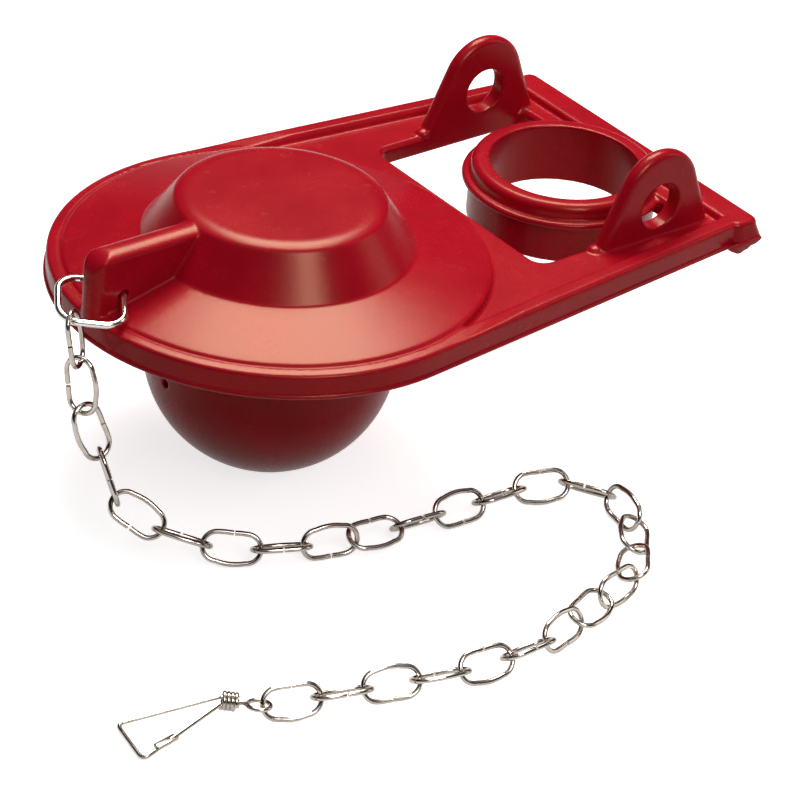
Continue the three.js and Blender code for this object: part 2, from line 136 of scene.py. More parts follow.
def prism(
    outline: list[Point2], low: float, high: float, upper: list[Point2] | None = None
) -> bmesh.types.BMesh:
    """A flat outline pushed up from one height to another.

    Args:
        outline: the outline's points.
        low: the lower height.
        high: the upper height.
        upper: the outline at the upper height, with as many points, where it differs.

    Returns:
        The closed shape.
    """
    shape = bmesh.new()
    base = [shape.verts.new((x, y, low)) for x, y in outline]
    face = shape.faces.new(base)
    grown = bmesh.ops.extrude_face_region(shape, geom=[face])["geom"]
    lifted = [item for item in grown if isinstance(item, bmesh.types.BMVert)]
    bmesh.ops.translate(shape, verts=lifted, vec=(0, 0, high - low))
    if upper is not None:
        for vert in lifted:
            nearest = min(range(len(outline)), key=lambda i: math.dist(outline[i], vert.co.xy))
            vert.co.xy = upper[nearest]
    bmesh.ops.recalc_face_normals(shape, faces=shape.faces)
    return shape


def bevelled(
    shape: bmesh.types.BMesh, edges: list[bmesh.types.BMEdge], width: float, segments: int
) -> bmesh.types.BMesh:
    """Rounds some edges of a shape.

    Args:
        shape: the shape.
        edges: its edges that are rounded.
        width: the round's radius.
        segments: how many steps the round has.

    Returns:
        The same shape.
    """
    bmesh.ops.bevel(
        shape, geom=edges, offset=width, offset_type="OFFSET", segments=segments, profile=0.5,
        affect="EDGES", material=-1, clamp_overlap=True,
    )
    return shape


def rounded(
    shape: bmesh.types.BMesh, heights: Iterable[float], width: float, segments: int = 4
) -> bmesh.types.BMesh:
    """Rounds the rims of a prism.

    Args:
        shape: the prism.
        heights: the heights of the rims.
        width: the round's radius.
        segments: how many steps the round has.

    Returns:
        The same shape.
    """
    rims = [
        edge
        for edge in shape.edges
        if any(all(abs(vert.co.z - height) < SAME for vert in edge.verts) for height in heights)
    ]
    return bevelled(shape, rims, width, segments)


def moved(shape: bmesh.types.BMesh, place: Matrix) -> bmesh.types.BMesh:
    """Applies a placement to a shape.

    Args:
        shape: the shape.
        place: the placement, which may mirror.

    Returns:
        The same shape.
    """
    bmesh.ops.transform(shape, matrix=place, verts=shape.verts)
    bmesh.ops.recalc_face_normals(shape, faces=shape.faces)
    return shape


def rod(radius: float, length: float, axis: Axis, centre: Vector, segments: int = 48) -> bmesh.types.BMesh:
    """A round rod along one of the frame's axes.

    Args:
        radius: the rod's radius.
        length: its length.
        axis: its direction.
        centre: its middle.
        segments: how many sides it has.

    Returns:
        The closed shape.
    """
    shape = bmesh.new()
    facing = Vector(Axis.Z.value).rotation_difference(Vector(axis.value)).to_matrix().to_4x4()
    bmesh.ops.create_cone(
        shape, cap_ends=True, segments=segments, radius1=radius, radius2=radius, depth=length,
        matrix=Matrix.Translation(centre) @ facing,
    )
    return shape


def linked(name: str, data: bpy.types.ID) -> bpy.types.Object:
    """Makes an object for a mesh, curve, lamp or camera.

    Args:
        name: the object's name.
        data: what it holds.

    Returns:
        The object, which is in the scene.
    """
    thing = bpy.data.objects.new(name, data)
    bpy.context.scene.collection.objects.link(thing)
    return thing


def as_object(name: str, shape: bmesh.types.BMesh) -> bpy.types.Object:
    """Turns a shape into an object and frees the shape.

    Args:
        name: the object's name.
        shape: the shape.

    Returns:
        The object.
    """
    mesh = bpy.data.meshes.new(name)
    shape.to_mesh(mesh)
    shape.free()
    return linked(name, mesh)


def settled(thing: bpy.types.Object) -> bpy.types.Mesh:
    """Works an object's modifiers into a new mesh.

    Args:
        thing: the object, which stays as it is.

    Returns:
        The mesh.
    """
    graph = bpy.context.evaluated_depsgraph_get()
    graph.update()
    return bpy.data.meshes.new_from_object(thing.evaluated_get(graph))


def taken(mesh: bpy.types.Mesh) -> bmesh.types.BMesh:
    """Takes a mesh into a new shape and removes the mesh.

    Args:
        mesh: the mesh.

    Returns:
        The shape.
    """
    shape = bmesh.new()
    shape.from_mesh(mesh)
    bpy.data.meshes.remove(mesh)
    return shape


def discard(thing: bpy.types.Object) -> None:
    """Removes a helper object and what it holds.

    Args:
        thing: the object, which holds a mesh or a curve.
    """
    data = thing.data
    bpy.data.objects.remove(thing)
    holder = bpy.data.curves if isinstance(data, bpy.types.Curve) else bpy.data.meshes
    holder.remove(data)


def wire(points: list[Vector], radius: float, sides: int = 3, closed: bool = False) -> bmesh.types.BMesh:
    """Round wire along a path.

    Args:
        points: the path's points.
        radius: the wire's radius.
        sides: the curve's bevel resolution.
        closed: whether the path's ends meet.

    Returns:
        The closed shape of the wire.
    """
    curve = bpy.data.curves.new("wire", "CURVE")
    curve.dimensions = "3D"
    curve.twist_mode = "MINIMUM"
    curve.bevel_depth = radius
    curve.bevel_resolution = sides
    curve.use_fill_caps = not closed
    spline = curve.splines.new("POLY")
    spline.points.add(len(points) - 1)
    for knot, point in zip(spline.points, points):
        knot.co = (*point, 1.0)
    spline.use_cyclic_u = closed
    holder = linked("wire", curve)
    shape = taken(settled(holder))
    discard(holder)
    bmesh.ops.remove_doubles(shape, verts=shape.verts, dist=SAME)
    bmesh.ops.recalc_face_normals(shape, faces=shape.faces)
    return shape


def gathered(shapes: Iterable[bmesh.types.BMesh]) -> bmesh.types.BMesh:
    """Puts several shapes in one, without joining their surfaces.

    Args:
        shapes: the shapes, which are freed.

    Returns:
        The one shape.
    """
    whole = bmesh.new()
    for shape in shapes:
        mesh = bpy.data.meshes.new("part")
        shape.to_mesh(mesh)
        shape.free()
        whole.from_mesh(mesh)
        bpy.data.meshes.remove(mesh)
    return whole


def finished(name: str, shape: bmesh.types.BMesh, crease: float = 35.0) -> bpy.types.Object:
    """Turns a finished shape into a piece in metres, smooth apart from its sharp edges.

    Args:
        name: the piece's name.
        shape: its shape, in millimetres.
        crease: the angle past which an edge stays sharp, in degrees.

    Returns:
        The piece.
    """
    bmesh.ops.scale(shape, vec=(MM, MM, MM), verts=shape.verts)
    piece = as_object(name, shape)
    piece.data.shade_smooth()
    piece.data.set_sharp_from_angle(angle=math.radians(crease))
    return piece


class Signal:
    """One number or colour that flows through a material. Numbers can stand in sums."""

    def __init__(self, bench: Bench, socket: bpy.types.NodeSocket) -> None:
        """Keeps the socket and the bench that its sums are added to."""
        self.bench = bench
        self.socket = socket

    def _sum(self, operation: str, first: Signal | float, second: Signal | float) -> Signal:
        """Adds one Math node and gives its result."""
        return self.bench.signal("ShaderNodeMath", {"operation": operation}, {0: first, 1: second})

    def __add__(self, other: Signal | float) -> Signal:
        """Self plus other."""
        return self._sum("ADD", self, other)

    def __mul__(self, other: Signal | float) -> Signal:
        """Self times other."""
        return self._sum("MULTIPLY", self, other)

    def at_least(self, other: Signal | float) -> Signal:
        """The larger of the two."""
        return self._sum("MAXIMUM", self, other)

    __radd__ = __add__
    __rmul__ = __mul__


class Bench:
    """Adds nodes to one node tree and wires them."""

    def __init__(self, tree: bpy.types.NodeTree) -> None:
        """Clears the tree."""
        self.tree = tree
        tree.nodes.clear()

    def node(self, kind: str, settings: dict | None = None, inputs: dict | None = None) -> bpy.types.Node:
        """Adds a node.

        Args:
            kind: the node's type.
            settings: what is set on the node first; "stops" are a ramp's positions and colours.
            inputs: values or signals by the socket's name or number.

        Returns:
            The node.
        """
        made = self.tree.nodes.new(kind)
        for key, value in (settings or {}).items():
            if key == "stops":
                self._fill_ramp(made.color_ramp, value)
            else:
                setattr(made, key, value)
        for key, value in (inputs or {}).items():
            if isinstance(value, Signal):
                self.tree.links.new(value.socket, made.inputs[key])
            else:
                made.inputs[key].default_value = value
        return made

    @staticmethod
    def _fill_ramp(ramp: bpy.types.ColorRamp, stops: list[tuple[float, Triple]]) -> None:
        """Sets a ramp's stops.

        Args:
            ramp: the ramp.
            stops: the position and colour of each stop, in order.
        """
        while len(ramp.elements) < len(stops):
            ramp.elements.new(1.0)
        for element, (position, colour) in zip(ramp.elements, stops):
            element.position = position
            element.color = rgba(colour)

    def signal(
        self, kind: str, settings: dict | None = None, inputs: dict | None = None, output: int | str = 0
    ) -> Signal:
        """Adds a node and gives one of its outputs as a signal."""
        return Signal(self, self.node(kind, settings, inputs).outputs[output])

    def place(self) -> Signal:
        """The point on the piece, in metres."""
        return self.signal("ShaderNodeTexCoord", output="Object")

    def grain(self, place: Signal, scale: float, detail: float = 2.0, roughness: float = 0.5) -> Signal:
        """Soft noise from 0 to 1, with this many grains a metre."""
        inputs = {"Vector": place, "Scale": scale, "Detail": detail, "Roughness": roughness}
        return self.signal("ShaderNodeTexNoise", {"noise_dimensions": "3D"}, inputs)

    def band(self, value: Signal, span: Point2) -> Signal:
        """0 below the span, 1 above it, and smooth between."""
        settings = {"interpolation_type": "SMOOTHSTEP"}
        return self.signal("ShaderNodeMapRange", settings, {0: value, 1: span[0], 2: span[1], 3: 0.0, 4: 1.0})

    def blend(self, factor: Signal | float, first: Signal | tuple, second: Signal | tuple) -> Signal:
        """Mixes two colours."""
        return self.signal("ShaderNodeMix", {"data_type": "RGBA"}, {0: factor, 6: first, 7: second}, output=2)

    def bump(self, height: Signal, distance: float, strength: float) -> Signal:
        """A bump from a height, whose distance is in metres."""
        inputs = {"Strength": strength, "Distance": distance, "Height": height}
        return self.signal("ShaderNodeBump", None, inputs)

    def surface(self, inputs: dict) -> None:
        """Ends the material in a Principled shader with these inputs."""
        shader = self.signal("ShaderNodeBsdfPrincipled", None, inputs)
        self.node("ShaderNodeOutputMaterial", None, {"Surface": shader})


def new_material(name: str) -> tuple[bpy.types.Material, Bench]:
    """Makes an empty material.

    Args:
        name: the material's name.

    Returns:
        The material and the bench for its nodes.
    """
    material = bpy.data.materials.new(name)
    material.use_nodes = True
    return material, Bench(material.node_tree)


def rgba(colour: Triple) -> tuple[float, float, float, float]:
    """The colour with full alpha."""
    return (*colour, 1.0)


def grey(level: float) -> Triple:
    """A plain grey."""
    return (level, level, level)


@dataclass(frozen=True)
class RubberFinish:
    """Satin moulded rubber: an even red with a fine skin grain, faint mottling and dull handling marks."""

    name: str = "red_rubber"
    colour: Triple = (0.5, 0.004, 0.018)
    deep: Triple = (0.42, 0.003, 0.015)
    bloom: Triple = (0.56, 0.012, 0.03)
    roughness: float = 0.29
    roughness_spread: float = 0.12
    dulled_by_mottle: float = 0.1
    dulled_by_skin: float = 0.08
    dulled_by_scuffs: float = 0.12
    specular: float = 0.18
    sheen_tint: Triple = (1.0, 0.86, 0.56)
    skin_scale: float = 3400.0
    pore_scale: float = 900.0
    mottle_scale: float = 70.0
    mottle_span: Point2 = (0.3, 0.7)
    scuff_scale: float = 210.0
    scuff_span: Point2 = (0.58, 0.78)
    scuff_share: float = 0.35
    skin_share: float = 0.7
    pore_share: float = 0.6
    relief_height: float = 0.00002
    relief_strength: float = 0.8

    def make(self) -> bpy.types.Material:
        """Makes the material.

        Returns:
            The material.
        """
        material, bench = new_material(self.name)
        place = bench.place()
        mottle = bench.grain(place, self.mottle_scale, detail=4.0, roughness=0.6)
        skin = bench.grain(place, self.skin_scale, detail=3.0, roughness=0.6)
        pores = bench.grain(place, self.pore_scale)
        marks = bench.grain(place, self.scuff_scale, detail=6.0, roughness=0.7)
        scuffs = bench.band(marks, self.scuff_span)
        colour = bench.blend(bench.band(mottle, self.mottle_span), rgba(self.deep), rgba(self.colour))
        colour = bench.blend(scuffs * self.scuff_share, colour, rgba(self.bloom))
        dulling = mottle * self.dulled_by_mottle + skin * self.dulled_by_skin + scuffs * self.dulled_by_scuffs
        relief = skin * self.skin_share + pores * self.pore_share
        bench.surface({
            "Base Color": colour,
            "Roughness": dulling + (self.roughness - self.roughness_spread),
            "Specular IOR Level": self.specular,
            "Specular Tint": rgba(self.sheen_tint),
            "Normal": bench.bump(relief, self.relief_height, self.relief_strength),
        })
        return material


@dataclass(frozen=True)
class WireFinish:
    """Bare steel wire: drawn, a little tarnished in patches, with fine scratches."""

    name: str
    colour: Triple
    tarnish: Triple
    roughness: float
    tarnish_share: float = 0.5
    patch_scale: float = 260.0
    patch_span: Point2 = (0.42, 0.7)
    scratch_scale: float = 2500.0
    scratch_depth: float = 0.000006
    scratch_strength: float = 0.4
    dulled_by_patches: float = 0.12
    dulled_by_scratches: float = 0.06

    def make(self) -> bpy.types.Material:
        """Makes the material.

        Returns:
            The material.
        """
        material, bench = new_material(self.name)
        place = bench.place()
        cloud = bench.grain(place, self.patch_scale, detail=5.0, roughness=0.65)
        patches = bench.band(cloud, self.patch_span)
        scratches = bench.grain(place, self.scratch_scale, detail=4.0, roughness=0.7)
        dulling = patches * self.dulled_by_patches + scratches * self.dulled_by_scratches
        bench.surface({
            "Base Color": bench.blend(patches * self.tarnish_share, rgba(self.colour), rgba(self.tarnish)),
            "Metallic": 1.0,
            "Roughness": dulling + self.roughness,
            "Normal": bench.bump(scratches, self.scratch_depth, self.scratch_strength),
        })
        return material


@dataclass
class FlapperBody:
    """The moulded body: plate, disc, dome, hollow bulb, collar, ears and lifting tab in one piece."""

    finish: RubberFinish = field(default_factory=RubberFinish)
    plate_radius: float = 42.0
    plate_thickness: float = 5.0
    plate_rear: float = 88.2
    plate_rear_half_width: float = 33.2
    plate_corner: float = 1.8
    border_width: float = 3.8
    border_height: float = 1.4
    border_round: float = 0.9
    border_slope: float = 0.1
    lip_reach: float = 0.4
    lip_round: float = 0.5
    strip_front: float = 82.0
    strip_half_width: float = 34.3
    disc_radius: float = 39.4
    disc_edge_rise: float = 0.4
    disc_edge_round: float = 0.6
    disc_edge_turn: float = 77.0
    disc_inner_rise: float = 3.7
    groove_width: float = 0.55
    groove_depth: float = 0.15
    edge_flare: float = 0.8
    front_slope: tuple[Point2, ...] = ((40.0, 5.02), (42.1, 4.6), (47.0, 5.02), (47.0, 8.0), (40.0, 8.0))
    dome_base_radius: float = 25.2
    dome_height: float = 12.5
    dome_round: float = 1.0
    dome_round_radius: float = 18.8
    dome_crown: float = 7.0
    dome_crown_turn: float = 65.0
    bulb_radius: float = 23.7
    bulb_centre_depth: float = 14.1
    bulb_pole_turn: float = -86.0
    bulb_wall: float = 2.6
    drain_radius: float = 6.0
    bleed_radius: float = 0.8
    bleed_depth: float = 15.4
    window: tuple[float, float, float, float] = (42.1, 78.0, 24.7, 2.4)
    collar_x: float = 68.2
    collar_bore: float = 14.5
    collar_wall: float = 18.0
    collar_depth: float = 10.9
    rim_radius: float = 17.9
    rim_rise: float = 1.1
    rim_round: float = 1.5
    flange_radius: float = 19.5
    flange_drop: float = 1.9
    flange_height: float = 1.2
    flange_chamfer: float = 0.4
    flange_slope: float = 0.1
    ear_x: float = 68.0
    ear_thickness: float = 3.2
    ear_top_radius: float = 9.2
    ear_centre_rise: float = 6.9
    ear_feet: Point2 = (54.0, 81.0)
    ear_round: float = 1.4
    ear_hole_radius: float = 4.5
    ear_hole_rise: float = 5.0
    bead_radius: float = 1.3
    bead_shape: Triple = (1.1, 1.2, 0.7)
    bead_offset: Point2 = (0.2, 1.4)
    tab_front: float = -42.3
    tab_rear: float = -17.6
    tab_half_thickness: float = 2.7
    tab_top_rise: float = 11.8
    tab_corner: float = 5.5
    tab_crown: float = 4.6
    tab_side_round: float = 0.8
    bulge_rear: float = 1.3
    bulge_side: float = 0.7
    bulge_heights: Point2 = (0.5, 3.8)
    bulge_round: float = 0.4
    flash_outline: tuple[Point2, ...] = (
        (79.9, 0.9), (80.7, 0.2), (81.9, -0.5), (82.6, -0.9), (83.5, -1.0), (84.2, -0.6), (85.1, -0.5),
        (85.9, 0.0), (87.0, 0.1), (88.2, 0.6), (88.6, 1.1), (88.2, 1.6), (84.0, 1.5),
    )
    flash_thickness: float = 0.8
    flash_round: float = 0.25
    cut_margin: float = 1.0
    flare_margin: float = 0.05
    turn_steps: int = 160
    skin_step: float = 0.25
    skin_softening: float = 0.5
    skin_softening_rounds: int = 8
    skin_crease: float = 60.0
    triangle_limit: int = 185000

    @property
    def floor(self) -> float:
        """Height of the sunk floor inside the border."""
        return self.plate_thickness - self.border_height

    @property
    def tab_top(self) -> float:
        """Height of the tab's top, in its middle."""
        return self.plate_thickness + self.tab_top_rise

    def plate_outline(self, offset: float) -> list[Point2]:
        """Outline of the plate: a round front, and sides that touch it and run in to the rear.

        Args:
            offset: how far the outline is moved outwards.

        Returns:
            The outline's points.
        """
        radius = self.plate_radius + offset
        rear = self.plate_rear + offset
        half = self.plate_rear_half_width + offset
        lean = math.atan2(rear, half) - math.acos(radius / math.hypot(rear, half))
        side = 90.0 - math.degrees(lean)
        corner = max(self.plate_corner + offset, self.lip_reach)
        far = arc((rear - corner, half - corner), corner, 0.0, side, steps=6)
        front = arc((0.0, 0.0), radius, side, 360.0 - side, steps=110)
        near = [(x, -y) for x, y in reversed(far)]
        return far + front + near

    @staticmethod
    def rectangle(low: float, high: float, half_width: float, corner: float) -> list[Point2]:
        """A rectangle with rounded corners, even about the middle plane.

        Args:
            low: its front end.
            high: its rear end.
            half_width: half its width.
            corner: the corners' radius.

        Returns:
            The outline's points.
        """
        side = half_width - corner
        front, rear = low + corner, high - corner
        quarters = enumerate(((rear, side), (front, side), (front, -side), (rear, -side)))
        return [p for i, centre in quarters for p in arc(centre, corner, 90.0 * i, 90.0 * (i + 1), steps=5)]

    @property
    def dome_round_height(self) -> float:
        """Height of the centre of the dome's tighter round, under the flatter crown."""
        drop = (self.dome_crown - self.dome_round) * math.sin(math.radians(self.dome_crown_turn))
        return self.plate_thickness + self.dome_height - self.dome_crown + drop

    def dome_wall_angle(self) -> float:
        """Finds where the dome's wall touches the round of its top edge.

        Returns:
            The angle on the round, in degrees.
        """
        across = self.dome_round_radius - self.dome_base_radius
        up = self.dome_round_height - self.plate_thickness - self.disc_inner_rise
        wall = math.atan2(up, across) - math.asin(self.dome_round / math.hypot(across, up))
        return math.degrees(wall) - 90.0

    def disc_and_dome(self) -> bmesh.types.BMesh:
        """The disc's shallow cone and the dome on it, whose top edge is a tight round under a flatter one.

        Returns:
            The closed shape.
        """
        top = self.plate_thickness
        edge = (self.disc_radius - self.disc_edge_round, top + self.disc_edge_rise - self.disc_edge_round)
        shoulder = (self.dome_round_radius, self.dome_round_height)
        inset = (self.dome_crown - self.dome_round) * math.cos(math.radians(self.dome_crown_turn))
        crown = (self.dome_round_radius - inset, top + self.dome_height - self.dome_crown)
        profile = [(0.0, top / 2), (self.disc_radius, top / 2)]
        profile += arc(edge, self.disc_edge_round, 0.0, self.disc_edge_turn, steps=5)
        profile += [(self.dome_base_radius, top + self.disc_inner_rise)]
        profile += arc(shoulder, self.dome_round, self.dome_wall_angle(), self.dome_crown_turn, steps=6)
        profile += arc(crown, self.dome_crown, self.dome_crown_turn, 90.0, steps=8)[1:]
        profile += [(0.0, top + self.dome_height)]
        return spun(profile, self.turn_steps)

    def bulb(self) -> bmesh.types.BMesh:
        """Outside of the bulb.

        Returns:
            The closed shape.
        """
        centre = (0.0, -self.bulb_centre_depth)
        inside = self.plate_thickness / 2
        profile = [(0.0, -self.bulb_centre_depth - self.bulb_radius)]
        profile += arc(centre, self.bulb_radius, self.bulb_pole_turn, 0.0, steps=30)
        profile += [(self.bulb_radius, inside), (0.0, inside)]
        return spun(profile, self.turn_steps)

    def chamber(self) -> bmesh.types.BMesh:
        """The air chamber inside the bulb and the dome.

        Returns:
            The closed shape that is taken out.
        """
        radius = self.bulb_radius - self.bulb_wall
        centre = (0.0, -self.bulb_centre_depth)
        turn = math.radians(self.dome_wall_angle())
        inner_radius = self.dome_round_radius - (self.bulb_wall - self.dome_round) * math.cos(turn)
        ceiling = self.plate_thickness + self.dome_height - self.bulb_wall
        start = ceiling - (radius - inner_radius) / math.tan(turn)
        profile = [(0.0, -self.bulb_centre_depth - radius)]
        profile += arc(centre, radius, self.bulb_pole_turn, 0.0, steps=24)
        profile += [(radius, start), (inner_radius, ceiling), (0.0, ceiling)]
        return spun(profile, self.turn_steps)

    def collar(self) -> bmesh.types.BMesh:
        """Collar with its rim, flange and deep wall, not bored yet.

        Returns:
            The closed shape.
        """
        top = self.plate_thickness + self.rim_rise
        bottom = self.plate_thickness - self.collar_depth
        flange = self.plate_thickness - self.flange_drop
        under = flange - self.flange_height
        chamfer = self.flange_chamfer
        profile = [(0.0, bottom), (self.collar_wall, bottom), (self.collar_wall, under)]
        profile += [(self.flange_radius, under), (self.flange_radius, flange - chamfer)]
        profile += [(self.flange_radius - chamfer, flange), (self.rim_radius, flange + self.flange_slope)]
        rim = (self.rim_radius - self.rim_round, top - self.rim_round)
        profile += arc(rim, self.rim_round, 0.0, 90.0, steps=5)
        profile += [(0.0, top)]
        return spun(profile, self.turn_steps, self.collar_x)

    def ear(self, side: int) -> bmesh.types.BMesh:
        """One ear, flush with the window's wall.

        Args:
            side: +1 for the far ear and -1 for the near one.

        Returns:
            The closed shape, whose hole isn't drilled yet.
        """
        centre = self.plate_thickness + self.ear_centre_rise
        front, rear = self.ear_feet
        drop = centre - self.floor
        angles = [
            math.degrees(math.acos(self.ear_top_radius / math.hypot(foot, drop)) - math.atan2(drop, foot))
            for foot in (rear - self.ear_x, self.ear_x - front)
        ]
        outline = [(front, 0.0), (rear, 0.0), (rear, self.floor)]
        outline += arc((self.ear_x, centre), self.ear_top_radius, angles[0], 180.0 - angles[1], steps=32)
        outline += [(front, self.floor)]
        faces = (0.0, self.ear_thickness)
        shape = rounded(prism(outline, *faces), faces, self.ear_round, segments=6)
        place = Matrix.Translation((0, -self.window[2], 0)) @ Matrix.Rotation(math.pi / 2, 4, "X")
        return moved(shape, (Matrix.Scale(-1, 4, Axis.Y.value) if side > 0 else Matrix.Identity(4)) @ place)

    def pin_hole(self, side: int) -> bmesh.types.BMesh:
        """What the pin's hole takes out of one ear.

        Args:
            side: +1 for the far ear and -1 for the near one.

        Returns:
            The closed shape.
        """
        across = side * (self.window[2] + self.ear_thickness / 2)
        middle = Vector((self.ear_x, across, self.plate_thickness + self.ear_hole_rise))
        return rod(self.ear_hole_radius, 2 * self.ear_thickness, Axis.Y, middle, segments=64)

    def foot_bead(self, side: int) -> bmesh.types.BMesh:
        """The small bead of rubber at the front of an ear's foot.

        Args:
            side: +1 for the far ear and -1 for the near one.

        Returns:
            The closed shape.
        """
        shape = bmesh.new()
        along, across = self.bead_offset
        place = Matrix.Translation((self.ear_feet[0] + along, side * (self.window[2] + across), self.floor))
        stretch = Matrix.Diagonal((*self.bead_shape, 1.0))
        bmesh.ops.create_icosphere(shape, subdivisions=3, radius=self.bead_radius, matrix=place @ stretch)
        return shape

    def tab_side_view(self) -> list[Point2]:
        """Outline of the tab seen from the side.

        Returns:
            Points along the frame's X and Z.
        """
        corner = (self.tab_front + self.tab_corner, self.tab_top - self.tab_corner)
        outline = [(self.tab_front, self.floor), (self.tab_rear, self.floor), (self.tab_rear, self.tab_top)]
        return outline + arc(corner, self.tab_corner, 90.0, 180.0, steps=12)

    def tab_plan(self) -> list[Point2]:
        """Outline of the tab seen from above, with a round nose.

        Returns:
            Points along the frame's X and Y.
        """
        half = self.tab_half_thickness
        inside = self.tab_rear + self.cut_margin
        nose = arc((self.tab_front + half, 0.0), half, 90.0, 270.0, steps=20)
        return [(inside, -half), (inside, half), *nose]

    def tab_section(self) -> list[Point2]:
        """Outline of the tab seen along its length, with a crowned top.

        Returns:
            Points along the frame's Y and Z.
        """
        half, crown, side = self.tab_half_thickness, self.tab_crown, self.tab_side_round
        base = self.tab_top - crown
        turn = math.degrees(math.asin((half - side) / (crown - side)))
        shoulder = base + (crown - side) * math.cos(math.radians(turn))
        outline = [(-half, 0.0), (half, 0.0)]
        outline += arc((half - side, shoulder), side, 0.0, 90.0 - turn, steps=5)
        outline += arc((0.0, base), crown, 90.0 - turn, 90.0 + turn, steps=12)[1:-1]
        outline += arc((side - half, shoulder), side, 90.0 + turn, 180.0, steps=5)
        return outline

    def tab(self) -> bpy.types.Object:
        """The lifting tab: its side view, cut to a rounded nose and to a crowned top.

        Returns:
            The tab as an object.
        """
        half = self.tab_half_thickness
        upright = Matrix.Rotation(math.pi / 2, 4, "X")
        along = Matrix.Rotation(math.pi / 2, 4, "Z") @ upright
        tab = as_object("flapper_tab", moved(prism(self.tab_side_view(), -half, half), upright))
        nose = prism(self.tab_plan(), 0.0, 2 * self.tab_top)
        crown = moved(prism(self.tab_section(), -2 * self.plate_radius, 2 * self.plate_radius), along)
        for name, shape in (("nose", nose), ("crown", crown)):
            self.add_step(tab, Cut.KEEP, as_object(f"flapper_{name}", shape))
        whole = settled(tab)
        for step in tab.modifiers:
            discard(step.object)
        discard(tab)
        return linked("flapper_tab", whole)

    @staticmethod
    def add_step(base: bpy.types.Object, cut: Cut, helper: bpy.types.Object) -> None:
        """Joins, cuts or keeps a base by a helper.

        Args:
            base: the object that the step is added to.
            cut: what the step does.
            helper: the object that does it.
        """
        step = base.modifiers.new("step", "BOOLEAN")
        step.operation = cut.value
        step.object = helper
        step.solver = "EXACT"

    def lip(self) -> bmesh.types.BMesh:
        """The rounded lip round the plate's lower edge."""
        path = self.plate_outline(self.lip_reach - self.lip_round)
        return wire([Vector((x, y, self.lip_round)) for x, y in path], self.lip_round, sides=4, closed=True)

    def corner_bulge(self) -> bmesh.types.BMesh:
        """The bulge that the mould left at the foot of the near rear corner.

        Returns:
            The closed shape.
        """
        sides = (self.strip_half_width, self.plate_corner)
        low = self.rectangle(self.strip_front, self.plate_rear + self.bulge_rear, *sides)
        high = self.rectangle(self.strip_front, self.plate_rear, *sides)
        outline = [(x, y - self.bulge_side) for x, y in low]
        foot, head = self.bulge_heights
        return rounded(prism(outline, foot, head, high), (foot,), self.bulge_round, segments=2)

    def flash(self) -> bmesh.types.BMesh:
        """The thin ragged fin that the mould left under the near rear corner.

        Returns:
            The closed shape.
        """
        faces = (0.0, self.flash_thickness)
        fin = rounded(prism(list(self.flash_outline), *faces), faces, self.flash_round, segments=2)
        place = Matrix.Translation((0, -self.strip_half_width, 0)) @ Matrix.Rotation(math.pi / 2, 4, "X")
        return moved(fin, place)

    def plate_steps(self) -> list[tuple[Cut, bmesh.types.BMesh]]:
        """What is cut out of the bare plate and put on its rear, in order.

        Returns:
            The steps.
        """
        top = self.plate_thickness
        above = top + self.cut_margin
        flare = self.edge_flare
        groove = arc((0.0, 0.0), self.disc_radius + self.groove_width, 0.0, 360.0, steps=140)[1:]
        groove_floor = top - self.groove_depth - self.border_slope
        low, high, half, corner = self.window
        window = self.rectangle(low, high, half, corner)
        wider_window = self.rectangle(low - flare, high + flare, half + flare, corner + flare)
        sunk = self.plate_outline(-self.border_width)
        wider_sunk = self.plate_outline(flare - self.border_width)
        strip = self.rectangle(self.strip_front, self.plate_rear, self.strip_half_width, self.plate_corner)
        return [
            (Cut.TAKE, spun([*self.front_slope, self.front_slope[0]], self.turn_steps)),
            (Cut.TAKE, prism(sunk, self.floor, above)),
            (Cut.TAKE, prism(sunk, top - flare, top + self.flare_margin, wider_sunk)),
            (Cut.TAKE, prism(groove, groove_floor, above)),
            (Cut.JOIN, rounded(prism(strip, 0.0, top), [top], self.border_round)),
            (Cut.JOIN, self.corner_bulge()),
            (Cut.TAKE, prism(window, -self.cut_margin, above)),
            (Cut.TAKE, prism(window, self.floor - flare, self.floor + self.flare_margin, wider_window)),
        ]

    def holes(self) -> list[bmesh.types.BMesh]:
        """What is taken out of the joined body, in order.

        Returns:
            The closed shapes.
        """
        bottom = Vector((0, 0, -self.bulb_centre_depth - self.bulb_radius))
        front = Vector((-self.bulb_radius, 0, -self.bleed_depth))
        middle = Vector((self.collar_x, 0, 0))
        return [
            self.chamber(),
            rod(self.drain_radius, 2 * self.bulb_radius, Axis.Z, bottom, segments=64),
            rod(self.bleed_radius, self.bulb_radius, Axis.X, front),
            rod(self.collar_bore, 4 * self.collar_depth, Axis.Z, middle, segments=128),
            self.pin_hole(1),
            self.pin_hole(-1),
        ]

    def build(self, tab_hole: bmesh.types.BMesh) -> bpy.types.Object:
        """Builds the body.

        Args:
            tab_hole: the shape that the large link's wire cuts out of the tab.

        Returns:
            The finished piece.
        """
        tab = self.tab()
        steps: list[tuple[Cut, bmesh.types.BMesh | bpy.types.Object]] = [*self.plate_steps()]
        steps += [(Cut.JOIN, shape) for shape in (self.disc_and_dome(), self.bulb(), self.collar())]
        steps += [(Cut.JOIN, self.ear(side)) for side in (1, -1)]
        steps += [(Cut.JOIN, self.foot_bead(side)) for side in (1, -1)]
        steps += [(Cut.JOIN, tab)]
        steps += [(Cut.TAKE, shape) for shape in (*self.holes(), tab_hole)]
        top = self.plate_thickness
        plate = rounded(prism(self.plate_outline(0.0), 0.0, top), [top], self.border_round)
        base = as_object("flapper_base", plate)
        helpers = []
        for cut, shape in steps:
            helper = as_object("flapper_step", shape) if isinstance(shape, bmesh.types.BMesh) else shape
            helpers.append(helper)
            self.add_step(base, cut, helper)
        return self.skinned(base, helpers)

